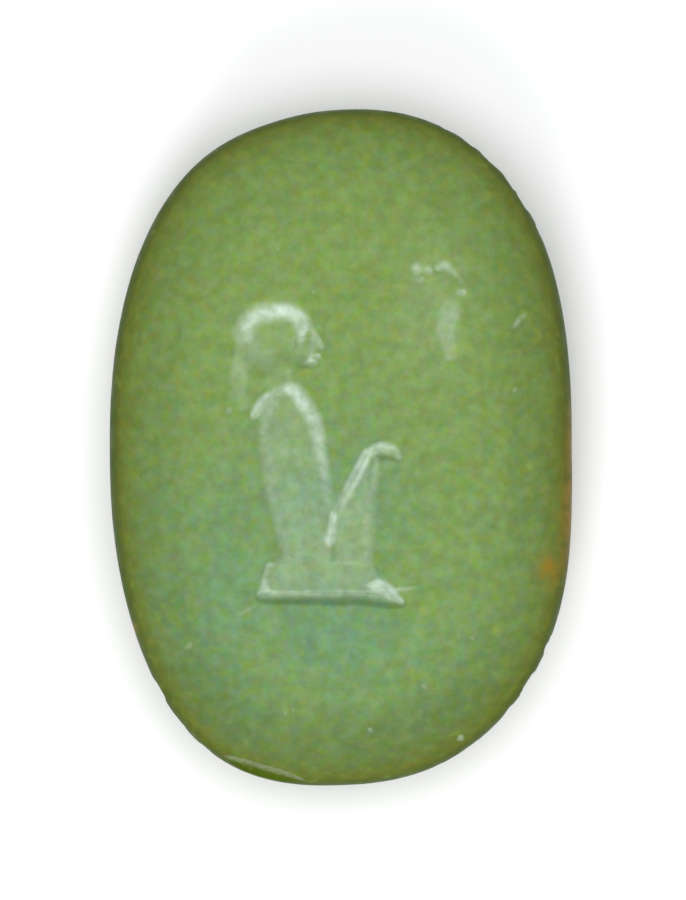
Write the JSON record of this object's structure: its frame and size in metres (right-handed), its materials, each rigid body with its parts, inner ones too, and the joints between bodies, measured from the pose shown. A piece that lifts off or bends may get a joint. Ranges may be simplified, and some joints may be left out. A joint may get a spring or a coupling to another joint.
{
  "type": "engraved oval plaque",
  "caption": "Small oval stone plaque with a domed face engraved with a squatting figure on a ground line, a rounded rim and a flat back.",
  "frame": {"origin": "centre of the flat back, at the height of the surface it lies on", "axes": "+Y along the stone's length towards the top of the engraved figure, +X towards the side the figure faces, +Z out of the engraved face"},
  "size_m": [0.0102, 0.015, 0.004],
  "materials": {
    "stone": "satin"
  },
  "bodies": {
    "root": {"oval_plaque": "stone"}
  },
  "joints": []
}
